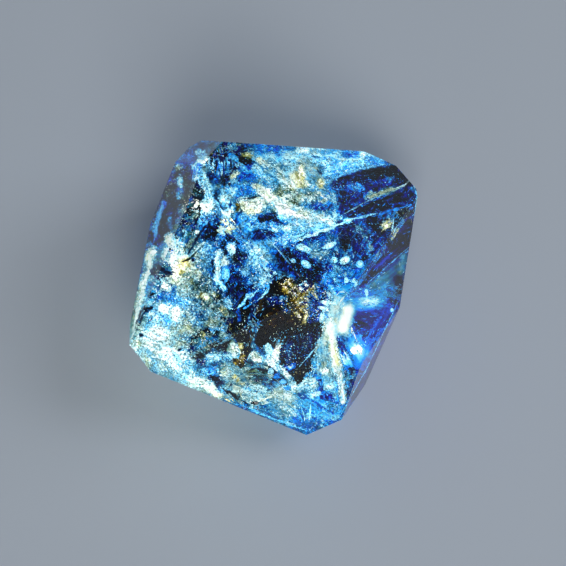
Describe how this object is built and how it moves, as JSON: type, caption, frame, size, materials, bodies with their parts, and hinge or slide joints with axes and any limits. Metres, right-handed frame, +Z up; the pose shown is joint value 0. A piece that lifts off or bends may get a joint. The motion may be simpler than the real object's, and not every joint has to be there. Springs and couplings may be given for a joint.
{
  "type": "petroleum quartz crystal",
  "caption": "Doubly terminated quartz crystal lying on a prism face, clear blue, with brown-black bitumen and veils of healed cracks sealed inside.",
  "frame": {"origin": "on the resting prism face, under the middle of the crystal's bounding box", "axes": "+X along the crystal's c axis towards its larger end, +Z up from the resting prism face, +Y across"},
  "size_m": [0.0206, 0.0186, 0.0132],
  "materials": {
    "quartz": "clear, glossy natural crystal faces, tinted blue by the oil it holds",
    "bitumen": "brown-black solid hydrocarbon, waxy, with golden-brown thin edges",
    "healed_cracks": "oil-filled healed cracks, drops and films, glowing blue, cyan and cream under ultraviolet light"
  },
  "bodies": {
    "root": {"crystal_upper_half": "quartz", "crystal_lower_half": "quartz", "bitumen_mass": "bitumen", "bitumen_vein": "bitumen", "healed_crack_left": "healed_cracks", "healed_crack_right": "healed_cracks"}
  },
  "joints": []
}
